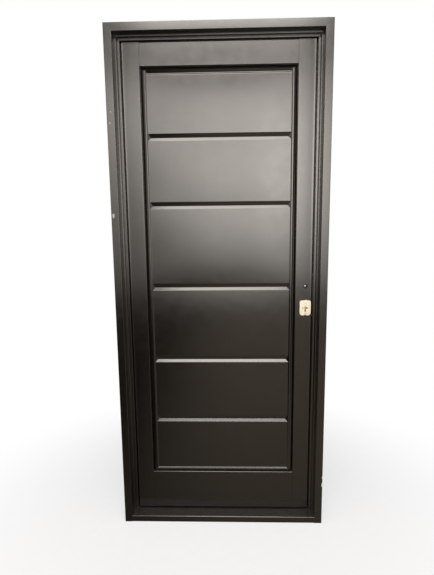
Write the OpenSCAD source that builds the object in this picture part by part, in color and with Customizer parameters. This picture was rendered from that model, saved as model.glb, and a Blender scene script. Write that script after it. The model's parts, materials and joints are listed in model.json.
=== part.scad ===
// Pressed steel front door in its folded steel frame, opening inwards.
// Millimetres. X runs across the opening, Y from outside to inside, Z up.
// The origin is on the floor, in the middle of the footprint.
// Depths named _d are counted from the outer face of the frame.

/* [Frame] */
// Width over the frame
frame_w = 860; // [800:5:960]
// Height over the frame
frame_h = 2050; // [1980:5:2200]
// Thickness of the frame sheet
frame_t = 1.5; // [1.2:0.1:2]
// Inside radius of every fold
fold_in = 1; // [0.6:0.1:1.4]
// Width of the outer face
face_w = 32; // [28:1:45]
// Depth of the reveal behind the outer face
reveal_d = 45; // [35:1:70]
// Width of the first step
step_1_w = 7; // [6:0.5:12]
// Depth of the first step
step_1_d = 15; // [10:1:25]
// Width of the second step
step_2_w = 10; // [8:0.5:14]
// Depth of the nose that the lock bolts enter
nose_d = 25; // [24:1:32]
// Width of the nose in front of the rebate
nose_w = 13; // [12:0.5:16]
// Depth of the rebate that holds the edge of the leaf
rebate_d = 25; // [23:1:32]
// Width of the returns against the wall
return_w = 15; // [10:1:25]
// Height of the threshold
sill_h = 28; // [22:1:40]

/* [Wall straps] */
// Width of a wall strap
strap_w = 25; // [20:1:40]
// Thickness of a wall strap
strap_t = 3; // [2:0.5:5]
// Radius of the fixing hole in a strap
strap_hole_r = 4.5; // [3:0.5:6]
// Straps in each jamb
strap_count = 4; // [2:1:6]
// Height of the lowest strap
strap_low = 250; // [150:10:400]

/* [Leaf] */
// Visible gap between the frame and the outer face of the leaf
face_gap = 5; // [4:0.5:7]
// Gap between the rebate and the edge of the leaf
edge_gap = 4; // [3:0.5:6]
// Outer face of the leaf behind the second step
leaf_sink = 5; // [2:0.5:8]
// Room for the seal between the nose and the leaf
seal_gap = 5; // [4:0.5:6]
// Gap under the leaf
floor_gap = 5; // [4:0.5:12]
// Thickness of the leaf sheet
leaf_t = 1.2; // [1:0.1:1.5]
// Visible width of a stile
stile_w = 68; // [66:1:90]
// Visible height of the top rail
top_rail_h = 88; // [70:1:140]
// Height of the bottom rail
bottom_rail_h = 171; // [100:1:260]
// Depth of the lip folded in along the panel
lip_d = 13; // [12:0.5:14]

/* [Pressed panels] */
// Flat ledge beside the lip
ledge_w = 0.5; // [0.5:0.5:8]
// Width of the steep slope up from the ledge
slope_w = 6.5; // [3:0.5:8]
// Height of the steep slope
slope_rise = 6; // [4:0.5:7]
// Width of the gentle slope up to the rim at the sides
brow_w = 8; // [5:0.5:10]
// Width of the gentle slope at the top and bottom
brow_end_w = 5; // [4:0.5:8]
// Height of the rim above the ledge
rim_rise = 9; // [8:0.5:10]
// Width of the rim at the sides
rim_w = 5; // [3:0.5:14]
// Width of the rim at the top and bottom
rim_end_w = 3; // [2:0.5:12]
// Width of the slope from the rim down to the field
sink_w = 3; // [2:0.5:5]
// Depth of the field below the rim
sink_d = 3; // [2:0.5:4]
// Width of a groove between two panels
groove_w = 28; // [22:1:36]
// Width of the floor of a groove
floor_w = 7; // [4:0.5:12]
// Depth of a groove below the field
groove_d = 9; // [6:0.5:10]
// Width of the narrow groove along the rim at the top and bottom
end_groove_w = 11; // [8:0.5:16]
// Width of the floor of a narrow groove
end_floor_w = 1; // [0.5:0.5:3]
// Depth of a narrow groove below the field
end_groove_d = 3; // [2:0.5:4]
// Panel heights from the top down, as shares of the field
row_shares = [236, 269, 337, 313, 271, 218]; // [150:1:450]
// Width of the flange welded behind the lips
tuck_w = 9; // [6:0.5:10]

/* [Hinges] */
// Outer radius of a knuckle
knuckle_r = 8; // [7:0.5:10]
// Height of a knuckle
knuckle_h = 45; // [35:1:60]
// Radius of a hinge pin
hinge_pin_r = 5; // [4:0.5:5.5]
// Running clearance round a hinge pin
pin_clear = 0.05; // [0.02:0.01:0.1]
// Thickness of a thrust washer
washer_t = 1.5; // [1:0.5:3]
// Width of a hinge plate from the pin
hinge_plate_w = 28; // [22:1:34]
// Thickness of a hinge plate
hinge_plate_t = 3; // [2:0.5:4]
// Height of the middle of the lowest hinge
hinge_low = 240; // [180:10:400]
// Middle of the highest hinge below the top of the frame
hinge_high = 250; // [180:10:400]

/* [Lock] */
// Height of the keyhole
key_z = 946; // [900:1:1050]
// Spindle above the keyhole
spindle_up = 91; // [85:1:110]
// Keyhole and spindle in from the edge of the leaf face
backset = 25; // [24:0.5:28]
// Radius of the spindle hole in the stile
spindle_hole_r = 8.5; // [7:0.5:9]
// Side of the square spindle socket
socket_w = 8; // [7:0.5:9]
// Thickness of the lock case
case_t = 14; // [13:0.5:15]
// Depth of the lock case from the edge
case_d = 50; // [49:0.5:53]
// Wall of the lock case
case_wall = 1.2; // [1:0.1:1.5]
// Width of the forend
forend_w = 18; // [16:0.5:18]
// Thickness of the forend
forend_t = 2.2; // [2:0.1:3]
// Thickness of both bolts
bolt_t = 9; // [8.5:0.5:10]
// Latch bolt past the forend at rest
latch_out = 11; // [8:0.5:11]
// Height of the latch head
latch_h = 23; // [22:0.5:26]
// Throw of the deadbolt
throw = 20; // [15:1:20]
// Height of the deadbolt
deadbolt_h = 37; // [34:1:40]
// Running clearance of the sliding and turning lock pieces
lock_clear = 0.2; // [0.15:0.05:0.3]
// Thickness of the strike plate
strike_t = 1.5; // [1:0.1:2]
// Width of the strike plate
strike_w = 20; // [18:0.5:21]
// Shank radius of the lock screws
screw_r = 2; // [1.5:0.1:2.2]

/* [Key plates] */
// Width of a key plate
plate_w = 46; // [40:1:48]
// Height of a key plate
plate_h = 64; // [56:1:72]
// Thickness of a key plate between its ribs
plate_t = 1.4; // [1:0.1:2]
// Height of the ribs and the boss above the plate
plate_rise = 1.2; // [0.6:0.1:1.6]
// Width of a rib along each side of a key plate
plate_rib_w = 7; // [5:0.5:9]
// Width of the boss round the upper screw
boss_w = 28; // [20:1:30]
// Height of the boss round the upper screw
boss_h = 13; // [11:0.5:14]
// Radius of the two lobes at the bottom of a key plate
lobe_r = 13; // [12.5:0.5:15]
// Length of the level arms of the keyhole
key_arm = 23; // [18:1:24]
// Width of the arms of the keyhole
key_slot = 4.6; // [4:0.1:5]
// Upright arm of the keyhole above the guide pin
key_rise = 11; // [8:0.5:12]
// Upright arm of the keyhole below the guide pin
key_drop = 16; // [11:0.5:17]

/* [Hidden] */
$fn = 48;

// Facets in one fold, and how far a cutter passes the face it cuts
bend_steps = 4;
over = 1;
// Air round a seated shank, and beside a sheet that is tucked into a fold
seat_clear = 0.05;
fold_clear = 0.15;

paint = [0.15, 0.14, 0.13];
steel = [0.62, 0.63, 0.64];
nickel = [0.86, 0.83, 0.72];
brass = [0.80, 0.66, 0.32];
rubber = [0.06, 0.06, 0.06];

// Depths from the outer face
step_a = reveal_d;
step_b = step_a + step_1_d;
nose_back = step_b + nose_d;
frame_d = nose_back + rebate_d;
leaf_d = step_b + leaf_sink;
lip_back = nose_back + seal_gap;
leaf_mid = (leaf_d + frame_d) / 2;

// Distances in from the outer edge of the frame
edge_a = face_w + step_1_w;
edge_b = edge_a + step_2_w;
rebate_x = edge_b - nose_w;
leaf_x = edge_b + face_gap;
leaf_lip_x = rebate_x + edge_gap;

// Leaf heights and the opening that the panels fill
leaf_low = sill_h + floor_gap;
leaf_top = frame_h - leaf_x;
leaf_lip_top = frame_h - leaf_lip_x;
panel_half = frame_w / 2 - leaf_x - stile_w;
panel_low = leaf_low + bottom_rail_h;
panel_top = leaf_top - top_rail_h;
panel_mid = (panel_low + panel_top) / 2;
panel_h = panel_top - panel_low;

// Levels of the pressed panel
ledge_lvl = leaf_d + lip_d;
slope_lvl = ledge_lvl - slope_rise;
rim_lvl = ledge_lvl - rim_rise;
field_lvl = rim_lvl + sink_d;
floor_lvl = field_lvl + groove_d;
field_half = panel_half - ledge_w - slope_w - brow_w - rim_w - sink_w;
field_h = panel_h - 2 * (ledge_w + slope_w + brow_end_w + rim_end_w + sink_w);
groove_end = 1;
rows_h = field_h - 2 * (groove_end + end_groove_w);
rows_top = panel_mid + rows_h / 2;

// Hinge line in the gap beside the leaf
hinge_x = rebate_x + edge_gap / 2 - frame_w / 2;
hinge_gap = 0.5;
hinge_d = frame_d + hinge_gap + knuckle_r;
hinge_zs = [hinge_low, (hinge_low + frame_h - hinge_high) / 2, frame_h - hinge_high];
hinge_end = 6;
washer_clear = 0.1;
pin_tip = 1;
mid_d = (hinge_d + knuckle_r) / 2;

// Seal behind the nose: off the rebate, off the nose edge and off the leaf
seal_in = 0.5;
seal_spare = 3;
seal_clear = 0.3;
seal_end = 0.2;

// Lock places, counted in from the edge of the leaf face
lock_edge = frame_w / 2 - leaf_x;
lock_in = 11.5;
lock_mid = leaf_d + lock_in;
spindle_z = key_z + spindle_up;
key_room = 12.5;
key_bore_r = 11.5;
case_low_room = 5.5;
case_up = 42;
case_low = key_z - deadbolt_h / 2 - case_low_room;
case_top = spindle_z + case_up;
forend_end = 16;
forend_low = case_low - forend_end;
forend_top = case_top + forend_end;
forend_screw_zs = [forend_low + forend_end / 2, forend_top - forend_end / 2];
latch_up = 26;
latch_z = spindle_z + latch_up;
latch_tail_up = 21;
latch_tail_low = spindle_z + latch_tail_up;
latch_tail_h = 8;
latch_head_l = 14;
lug_w = 5;
arm_w = 7;
arm_l = 17.5;
arm_t = 6;
arm_gap = 0.5;
lug_u = backset + arm_w / 2 + arm_gap;
lug_gap = 0.5;
follower_r = 10;
follower_hub_r = 8;
spring_r = 3;
spring_wire = 0.45;
spring_up = 33.5;
spring_z = spindle_z + spring_up;
spring_turns = 8;
stop_w = 6;
stop_u = case_d - stop_w;
post_r = 3;
post_up = 48;
post_z = key_z + post_up;
post_in = 9;
post_back = 7;
post_us = [post_in, case_d - post_back];
post_screw_r = 1.5;
bar_h = 6;
bar_end = 8;
strike_screw_out = 9;

// Strike places on the nose of the lock jamb
strike_x = frame_w / 2 - edge_b;
strike_shift = 1.5;
strike_mid = lock_mid - strike_shift;
strike_low = case_low - forend_end;
strike_top = case_top + forend_end;
strike_screw_zs = [strike_low + strike_screw_out, strike_top - strike_screw_out];
strike_room = 1.5;
box_t = 1;
box_end = 4;
box_deep = throw + box_end;

// Screws of the key plates: one on the boss, one just above the notch
plate_screw_out = 9;
boss_up = 21;
plate_head_t = 1.2;
plate_head_r = 3.4;
plate_screws = [
    [key_z + boss_up, plate_t + plate_rise],
    [key_z - plate_h / 2 + plate_screw_out, plate_t]
];

// Folded sections: a path of right-angled corners with the sheet on its left
function way(a, b) = (b - a) / norm(b - a);
function left_of(a, b) = [-way(a, b)[1], way(a, b)[0]];
function turns_left(a, b, c) = left_of(a, b) * way(b, c) > 0;
function bend(a, b, c, r) = [
    for (k = [0 : bend_steps])
        b + r * (way(b, a) * (1 - sin(90 * k / bend_steps))
               + way(b, c) * (1 - cos(90 * k / bend_steps)))
];
function folded(p, t) = [
    for (i = [0 : len(p) - 1])
        each (i == 0 || i == len(p) - 1) ? [p[i]]
            : bend(p[i - 1], p[i], p[i + 1],
                   turns_left(p[i - 1], p[i], p[i + 1]) ? fold_in + t : fold_in)
];
function moved_left(p, t) = [
    for (i = [0 : len(p) - 1])
        let (m = left_of(p[max(i - 1, 0)], p[max(i, 1)]),
             n = left_of(p[min(i, len(p) - 2)], p[min(i + 1, len(p) - 1)]))
        p[i] + (m + n) * t / (1 + m * n)
];
function backwards(p) = [for (i = [len(p) - 1 : -1 : 0]) p[i]];
function sum_to(v, n) = n < 0 ? 0 : v[n] + sum_to(v, n - 1);

frame_path = [
    [0, return_w], [0, 0], [face_w, 0], [face_w, step_a], [edge_a, step_a],
    [edge_a, step_b], [edge_b, step_b], [edge_b, nose_back],
    [rebate_x, nose_back], [rebate_x, frame_d], [0, frame_d], [0, frame_d - return_w]
];
sill_path = [
    [frame_d - return_w, 0], [frame_d, 0], [frame_d, sill_h],
    [0, sill_h], [0, 0], [return_w, 0]
];
function stile_path(w) = [
    [leaf_x + w, frame_d - lip_d], [leaf_x + w, frame_d], [leaf_lip_x, frame_d],
    [leaf_lip_x, lip_back], [leaf_x, lip_back], [leaf_x, leaf_d],
    [leaf_x + w, leaf_d], [leaf_x + w, leaf_d + lip_d]
];
bottom_rail_path = [
    [bottom_rail_h, frame_d - lip_d], [bottom_rail_h, frame_d], [0, frame_d],
    [0, leaf_d], [bottom_rail_h, leaf_d], [bottom_rail_h, leaf_d + lip_d]
];

// Each groove by height, width, width of floor and depth
// A deep one lies where two rows of panels meet, and a narrow one above and below them all
row_sum = sum_to(row_shares, len(row_shares) - 1);
grooves = concat(
    [
        for (i = [0 : len(row_shares) - 2])
            [rows_top - rows_h * sum_to(row_shares, i) / row_sum, groove_w, floor_w, groove_d]
    ],
    [
        for (s = [-1, 1])
            [panel_mid + s * (rows_h + end_groove_w) / 2, end_groove_w, end_floor_w, end_groove_d]
    ]
);

// Straps are spaced evenly up the jambs, and two tie the head
strap_zs = [
    for (i = [0 : strap_count - 1])
        strap_low + i * (frame_h - 2 * strap_low) / (strap_count - 1)
];

// Moves a piece from its depth behind the outer face to the origin
module placed() {
    translate([0, -mid_d, 0]) children();
}

module sheet(path, t) {
    p = folded(path, t);
    polygon(concat(p, backwards(moved_left(p, t))));
}

// Extrusions of a section drawn as [inwards, depth]
module up_left_side(low, high) {
    translate([-frame_w / 2, 0, low]) linear_extrude(height = high - low) children();
}

module along_top(half) {
    translate([-half, 0, frame_h]) rotate([0, 90, 0])
        linear_extrude(height = 2 * half) children();
}

module along_bottom(half, low) {
    translate([half, 0, low]) rotate([0, -90, 0])
        linear_extrude(height = 2 * half) children();
}

// Extrudes an [x, z] outline towards the outside from a depth
module outwards(depth, t) {
    translate([0, depth, 0]) rotate([90, 0, 0]) linear_extrude(height = t) children();
}

module rod_y(x, z, d0, d1, r) {
    translate([x, d0, z]) rotate([-90, 0, 0]) cylinder(h = d1 - d0, r = r);
}

module rod_x(x0, x1, d, z, r) {
    translate([x0, d, z]) rotate([0, 90, 0]) cylinder(h = x1 - x0, r = r);
}

module cone_x(x0, x1, d, z, r0, r1) {
    translate([x0, d, z]) rotate([0, 90, 0]) cylinder(h = x1 - x0, r1 = r0, r2 = r1);
}

// Box in the lock, counted in from the leaf edge and centred in the lock's depth
module lock_box(u0, u1, t, z0, z1) {
    translate([lock_edge - u1, lock_mid - t / 2, z0]) cube([u1 - u0, t, z1 - z0]);
}

// Mitre plane at the top left corner: keeps the jamb or keeps the head
module mitre_cut(keep_head) {
    far = edge_b + over;
    translate([-frame_w / 2, 0, frame_h]) outwards(frame_d + over, frame_d + 2 * over)
        polygon([[-over, over], [far, -far], keep_head ? [-over, -far] : [far, over]]);
}

module plain_jamb() {
    difference() {
        up_left_side(0, frame_h) sheet(frame_path, frame_t);
        mitre_cut(false);
    }
}

module hinge_jamb() {
    color(paint) placed() plain_jamb();
}

module lock_jamb() {
    color(paint) placed() difference() {
        mirror([1, 0, 0]) plain_jamb();
        strike_holes(strike_x - over, strike_x + frame_t + over);
        for (z = strike_screw_zs)
            rod_x(strike_x - over, strike_x + frame_t + over, strike_mid, z, screw_r + seat_clear);
    }
}

module head() {
    color(paint) placed() difference() {
        along_top(frame_w / 2) sheet(frame_path, frame_t);
        mitre_cut(true);
        mirror([1, 0, 0]) mitre_cut(true);
    }
}

module threshold() {
    half = (frame_w - face_w) / 2;
    color(paint) placed() difference() {
        translate([-half, 0, 0]) rotate([90, 0, 90])
            linear_extrude(height = 2 * half) sheet(sill_path, frame_t);
        for (s = [0, 1])
            mirror([s, 0, 0]) up_left_side(-over, sill_h + over)
                polygon(folded(frame_path, frame_t));
    }
}

// Flat bar across the open back of the frame, with its fixing hole
module strap() {
    end = frame_t + fold_in + fold_clear;
    difference() {
        translate([frame_t, end, -strap_w / 2])
            cube([strap_t, frame_d - 2 * end, strap_w]);
        rod_x(frame_t - over, frame_t + strap_t + over, frame_d / 2, 0, strap_hole_r);
    }
}

module wall_straps() {
    color(steel) placed() {
        for (s = [0, 1], z = strap_zs)
            mirror([s, 0, 0]) translate([-frame_w / 2, 0, z]) strap();
        for (s = [0, 1])
            mirror([s, 0, 0]) translate([-frame_w / 4, 0, frame_h]) rotate([0, 90, 0]) strap();
    }
}

// Rubber bulb stuck behind the nose, just short of the leaf
module seal_section() {
    seal_w = nose_w - edge_gap - seal_spare;
    seal_t = seal_gap - seal_clear;
    translate([leaf_lip_x + seal_in, nose_back]) {
        square([seal_w, seal_t - seal_w / 2]);
        translate([seal_w / 2, seal_t - seal_w / 2]) intersection() {
            circle(r = seal_w / 2);
            translate([-seal_w, 0]) square([2 * seal_w, seal_w]);
        }
    }
}

module side_seal() {
    up_left_side(sill_h, frame_h - edge_b - seal_end) seal_section();
}

module seal_hinge_side() {
    color(rubber) placed() side_seal();
}

module seal_lock_side() {
    color(rubber) placed() mirror([1, 0, 0]) side_seal();
}

module seal_head() {
    color(rubber) placed() along_top(frame_w / 2 - leaf_lip_x) seal_section();
}

// Passages for the latch and the deadbolt, through any wall of the nose
module strike_holes(x0, x1) {
    for (b = [[latch_z, latch_h], [key_z, deadbolt_h]])
        translate([x0, lock_mid - bolt_t / 2 - strike_room, b[0] - b[1] / 2 - strike_room])
            cube([x1 - x0, bolt_t + 2 * strike_room, b[1] + 2 * strike_room]);
}

module strike_plate() {
    color(nickel) placed() difference() {
        translate([strike_x - strike_t, strike_mid - strike_w / 2, strike_low])
            cube([strike_t, strike_w, strike_top - strike_low]);
        strike_holes(strike_x - strike_t - over, strike_x + over);
        for (z = strike_screw_zs) {
            rod_x(strike_x - strike_t - over, strike_x + over, strike_mid, z, screw_r + seat_clear);
            cone_x(strike_x - strike_t, strike_x, strike_mid, z,
                   screw_r + strike_t + seat_clear, screw_r + seat_clear);
        }
    }
}

module strike_screws() {
    color(steel) placed() for (z = strike_screw_zs) {
        cone_x(strike_x - strike_t, strike_x, strike_mid, z, screw_r + strike_t, screw_r);
        rod_x(strike_x, strike_x + 4 * frame_t, strike_mid, z, screw_r);
    }
}

// Box behind the strike that keeps mortar off the bolts
module strike_box() {
    x0 = strike_x + frame_t + fold_in + fold_clear;
    low = key_z - deadbolt_h / 2 - 2 * strike_room - box_t;
    high = latch_z + latch_h / 2 + 2 * strike_room + box_t;
    d0 = step_b + frame_t + fold_clear;
    d1 = nose_back - frame_t - fold_clear;
    color(steel) placed() difference() {
        translate([x0, d0, low]) cube([box_deep, d1 - d0, high - low]);
        translate([x0 - over, d0 + box_t, low + box_t])
            cube([box_deep - box_t + over, d1 - d0 - 2 * box_t, high - low - 2 * box_t]);
    }
}

// Hinges: the frame half carries the pin, the leaf half turns on it
module frame_half(z) {
    h0 = z - washer_t / 2 - knuckle_h;
    color(paint) placed() difference() {
        union() {
            translate([hinge_x, hinge_d, h0]) cylinder(h = knuckle_h, r = knuckle_r);
            translate([hinge_x - hinge_plate_w, frame_d, h0])
                cube([hinge_plate_w, hinge_plate_t, knuckle_h]);
        }
        translate([hinge_x, hinge_d, h0 + hinge_end])
            cylinder(h = knuckle_h, r = hinge_pin_r + seat_clear);
    }
}

module hinge_pin(z) {
    h0 = z - washer_t / 2 - knuckle_h + hinge_end;
    h1 = z + washer_t / 2 + knuckle_h - hinge_end - pin_tip;
    color(steel) placed() translate([hinge_x, hinge_d, h0]) {
        cylinder(h = h1 - h0 - pin_tip, r = hinge_pin_r);
        translate([0, 0, h1 - h0 - pin_tip])
            cylinder(h = pin_tip, r1 = hinge_pin_r, r2 = hinge_pin_r - pin_tip);
    }
}

module washer(z) {
    color(brass) placed() translate([hinge_x, hinge_d, z - washer_t / 2]) difference() {
        cylinder(h = washer_t, r = knuckle_r);
        translate([0, 0, -over]) cylinder(h = washer_t + 2 * over, r = hinge_pin_r + pin_clear);
    }
}

module leaf_half(z) {
    h0 = z + washer_t / 2 + washer_clear;
    color(paint) placed() difference() {
        union() {
            translate([hinge_x, hinge_d, h0]) cylinder(h = knuckle_h, r = knuckle_r);
            translate([hinge_x, frame_d, h0]) cube([hinge_plate_w, hinge_plate_t, knuckle_h]);
        }
        translate([hinge_x, hinge_d, h0 - over])
            cylinder(h = knuckle_h - hinge_end + over, r = hinge_pin_r + pin_clear);
    }
}

// The stiles run the full height, stepped like the leaf at the top
module plain_stile() {
    difference() {
        up_left_side(leaf_low, leaf_lip_top) sheet(stile_path(stile_w), leaf_t);
        translate([-frame_w / 2 + leaf_lip_x - over, leaf_d - over, leaf_top])
            cube([stile_w + leaf_x, lip_back - leaf_d + over, leaf_lip_top]);
    }
}

module hinge_stile() {
    color(paint) placed() plain_stile();
}

module lock_stile() {
    key_x = lock_edge - backset;
    color(paint) placed() difference() {
        mirror([1, 0, 0]) plain_stile();
        lock_box(-over, leaf_t + over, forend_w + 2 * seat_clear,
                 forend_low - seat_clear, forend_top + seat_clear);
        rod_y(key_x, spindle_z, leaf_d - over, frame_d + over, spindle_hole_r);
        outwards(frame_d + over, frame_d - leaf_d + 2 * over) key_cross();
        for (s = plate_screws)
            rod_y(key_x, s[0], leaf_d - over, frame_d + over, screw_r + seat_clear);
    }
}

module top_rail() {
    color(paint) placed() along_top(panel_half) sheet(stile_path(top_rail_h), leaf_t);
}

module bottom_rail() {
    color(paint) placed() along_bottom(panel_half, leaf_low) sheet(bottom_rail_path, leaf_t);
}

// Caps that close the ends of the stiles: flat below, stepped like the leaf above
module stile_inside() {
    polygon(moved_left(folded(stile_path(stile_w), leaf_t), leaf_t + fold_clear));
}

module stile_caps() {
    cap_path = [
        [leaf_lip_x, frame_d], [leaf_lip_x, lip_back], [leaf_x, lip_back], [leaf_x, leaf_d]
    ];
    color(paint) placed() for (s = [0, 1]) mirror([s, 0, 0]) {
        up_left_side(leaf_low, leaf_low + leaf_t) stile_inside();
        intersection() {
            along_top(frame_w / 2) sheet(cap_path, leaf_t);
            up_left_side(leaf_low, frame_h) stile_inside();
        }
    }
}

// Block with four sloping sides between two levels, in the middle of the panel
module hipped(z, half_a, h_a, lvl_a, half_b, h_b, lvl_b) {
    long = max(half_a, half_b) + over;
    tall = max(h_a, h_b) + 2 * over;
    translate([0, 0, z]) intersection() {
        translate([0, 0, -tall / 2]) linear_extrude(height = tall)
            polygon([[-half_a, lvl_a], [half_a, lvl_a], [half_b, lvl_b], [-half_b, lvl_b]]);
        translate([-long, 0, 0]) rotate([90, 0, 90]) linear_extrude(height = 2 * long)
            polygon([[lvl_a, -h_a / 2], [lvl_a, h_a / 2], [lvl_b, h_b / 2], [lvl_b, -h_b / 2]]);
    }
}

// Solid whose outer side has the pressed shape of the panel
module pressing(grow) {
    back = floor_lvl + 2 * leaf_t;
    edge_half = panel_half + tuck_w + grow;
    edge_h = panel_h + 2 * (tuck_w + grow);
    base_half = panel_half - ledge_w;
    base_h = panel_h - 2 * ledge_w;
    brow_half = base_half - slope_w;
    brow_h = base_h - 2 * slope_w;
    rim_half = brow_half - brow_w;
    rim_h = brow_h - 2 * brow_end_w;
    // Cutters start this far above the level they cut, along the same slopes
    lift = 0.2;
    sink_lift = lift * sink_w / sink_d;
    groove_half = field_half - groove_end;
    difference() {
        union() {
            translate([-edge_half, ledge_lvl, panel_mid - edge_h / 2])
                cube([2 * edge_half, back - ledge_lvl, edge_h]);
            hipped(panel_mid, base_half, base_h, ledge_lvl, brow_half, brow_h, slope_lvl);
            hipped(panel_mid, brow_half, brow_h, slope_lvl, rim_half, rim_h, rim_lvl);
            hipped(panel_mid, base_half, base_h, ledge_lvl, base_half, base_h, back);
        }
        hipped(panel_mid, field_half + sink_w + sink_lift, field_h + 2 * (sink_w + sink_lift),
               rim_lvl - lift, field_half, field_h, field_lvl);
        for (g = grooves) {
            side = (g[1] - g[2]) / 2;
            side_lift = lift * side / g[3];
            hipped(g[0], groove_half + side_lift, g[1] + 2 * side_lift, field_lvl - lift,
                   groove_half - side, g[2], field_lvl + g[3]);
        }
    }
}

module panel_sheet() {
    difference() {
        pressing(0);
        translate([0, leaf_t, 0]) pressing(over);
    }
}

module outer_panel() {
    color(paint) placed() panel_sheet();
}

module inner_panel() {
    color(paint) placed() translate([0, 2 * leaf_mid, 0]) mirror([0, 1, 0]) panel_sheet();
}

// Lock case: a tray that opens outwards, closed by the cover
module lock_case() {
    color(steel) placed() difference() {
        union() {
            difference() {
                lock_box(forend_t, case_d, case_t, case_low, case_top);
                translate([0, -case_wall, 0])
                    lock_box(forend_t - over, case_d - case_wall, case_t,
                             case_low + case_wall, case_top - case_wall);
            }
            for (u = post_us)
                rod_y(lock_edge - u, post_z, lock_mid - case_t / 2 + case_wall,
                      lock_mid + case_t / 2, post_r);
            lock_box(stop_u, case_d, case_t - 2 * case_wall,
                     spring_z - spring_r - spring_wire, case_top);
        }
        translate([0, -case_t + case_wall, 0])
            lock_box(forend_t - over, case_d + over, case_t, case_low - over, case_top + over);
        for (u = post_us)
            rod_y(lock_edge - u, post_z, lock_mid - case_t, lock_mid + case_t,
                  post_screw_r + seat_clear);
        rod_y(lock_edge - backset, spindle_z, lock_mid, lock_mid + case_t,
              follower_hub_r + lock_clear / 2);
        rod_y(lock_edge - backset, key_z, lock_mid, lock_mid + case_t, key_bore_r);
    }
}

module lock_cover() {
    color(steel) placed() difference() {
        translate([0, -case_t / 2 + case_wall / 2, 0])
            lock_box(forend_t, case_d, case_wall, case_low, case_top);
        rod_y(lock_edge - backset, spindle_z, leaf_d, lock_mid, follower_hub_r + lock_clear / 2);
        rod_y(lock_edge - backset, key_z, leaf_d, lock_mid, key_bore_r);
        for (u = post_us)
            rod_y(lock_edge - u, post_z, leaf_d, lock_mid, post_screw_r + seat_clear);
    }
}

module cover_screws() {
    face = lock_mid - case_t / 2;
    color(steel) placed() for (u = post_us) {
        rod_y(lock_edge - u, post_z, face - post_screw_r / 2, face, 2 * post_screw_r);
        rod_y(lock_edge - u, post_z, face, face + case_t - case_wall, post_screw_r);
    }
}

module lock_forend() {
    color(nickel) placed() difference() {
        lock_box(0, forend_t, forend_w, forend_low, forend_top);
        lock_box(-over, forend_t + over, bolt_t + 2 * lock_clear,
                 latch_z - latch_h / 2 - lock_clear, latch_z + latch_h / 2 + lock_clear);
        lock_box(-over, forend_t + over, bolt_t + 2 * lock_clear,
                 key_z - deadbolt_h / 2 - lock_clear, key_z + deadbolt_h / 2 + lock_clear);
        for (z = forend_screw_zs) {
            rod_x(lock_edge - forend_t - over, lock_edge + over, lock_mid, z, screw_r + seat_clear);
            cone_x(lock_edge - forend_t, lock_edge, lock_mid, z,
                   screw_r + seat_clear, screw_r + forend_t + seat_clear);
        }
    }
}

// Stepped tabs welded behind the stile edge, tapped for the forend
module forend_tabs() {
    tab_t = 3;
    tab_out = 10;
    tab_w = forend_w - 2;
    color(steel) placed() for (k = [0, 1]) difference() {
        union() {
            lock_box(forend_t, forend_t + tab_t, tab_w,
                     k == 0 ? forend_low - tab_out : case_top + over,
                     k == 0 ? case_low - over : forend_top + tab_out);
            lock_box(leaf_t, forend_t + tab_t, tab_w,
                     k == 0 ? forend_low - tab_out : forend_top + seat_clear,
                     k == 0 ? forend_low - seat_clear : forend_top + tab_out);
        }
        rod_x(lock_edge - case_d, lock_edge, lock_mid, forend_screw_zs[k], screw_r + seat_clear);
    }
}

module forend_screws() {
    color(steel) placed() for (z = forend_screw_zs) {
        cone_x(lock_edge - forend_t, lock_edge, lock_mid, z, screw_r, screw_r + forend_t);
        rod_x(lock_edge - 4 * forend_t, lock_edge - forend_t, lock_mid, z, screw_r);
    }
}

// Guide pin for the key, riveted in a bridge across the back of the case
module key_pin() {
    back = lock_mid + case_t / 2;
    color(nickel) placed() {
        rod_y(lock_edge - backset, key_z, leaf_d - plate_t, back + case_wall, screw_r);
        translate([lock_edge - backset - bar_h / 2, back, key_z - key_room - bar_h])
            cube([bar_h, case_wall, 2 * (key_room + bar_h)]);
    }
}

// Coil between the latch head and the stop in the case
module latch_spring() {
    ring_n = 6;
    turn_n = 12;
    n = spring_turns * turn_n;
    u0 = latch_head_l + seat_clear + spring_wire;
    u1 = stop_u - seat_clear - spring_wire;
    rows = [
        for (i = [0 : n]) [
            for (k = [0 : ring_n - 1])
                let (a = 360 * i / turn_n, b = 360 * k / ring_n, r = spring_r + spring_wire * cos(b))
                [lock_edge - u0 - (u1 - u0) * i / n + spring_wire * sin(b),
                 lock_mid + r * cos(a), spring_z + r * sin(a)]
        ]
    ];
    skin = [
        for (i = [0 : n - 1], k = [0 : ring_n - 1])
            let (a = i * ring_n + k, b = i * ring_n + (k + 1) % ring_n)
            each [[a, b, b + ring_n], [a, b + ring_n, a + ring_n]]
    ];
    first = [for (k = [ring_n - 1 : -1 : 0]) k];
    last = [for (k = [0 : ring_n - 1]) n * ring_n + k];
    color(steel) placed()
        polyhedron([for (r = rows) each r], concat([first], skin, [last]));
}

// Outline of a key plate: round top corners and two lobes at the bottom
module plate_outline() {
    top_r = 8;
    nub_r = 3;
    nub_x = 3;
    body_h = plate_h - top_r - lobe_r;
    translate([-plate_w / 2, lobe_r - plate_h / 2]) square([plate_w, body_h]);
    translate([top_r - plate_w / 2, 0]) square([plate_w - 2 * top_r, plate_h / 2]);
    for (s = [-1, 1]) {
        translate([s * (plate_w / 2 - top_r), plate_h / 2 - top_r]) circle(r = top_r);
        translate([s * (plate_w / 2 - lobe_r), lobe_r - plate_h / 2]) circle(r = lobe_r);
    }
    translate([nub_x, plate_h / 2]) circle(r = nub_r);
}

// Raised parts of a key plate: a rib along each side and the boss
module plate_raised() {
    difference() {
        plate_outline();
        square([plate_w - 2 * plate_rib_w, 2 * plate_h], center = true);
    }
    translate([0, boss_up]) {
        square([boss_w - boss_h, boss_h], center = true);
        for (s = [-1, 1])
            translate([s * (boss_w - boss_h) / 2, 0]) circle(d = boss_h);
    }
}

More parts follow.
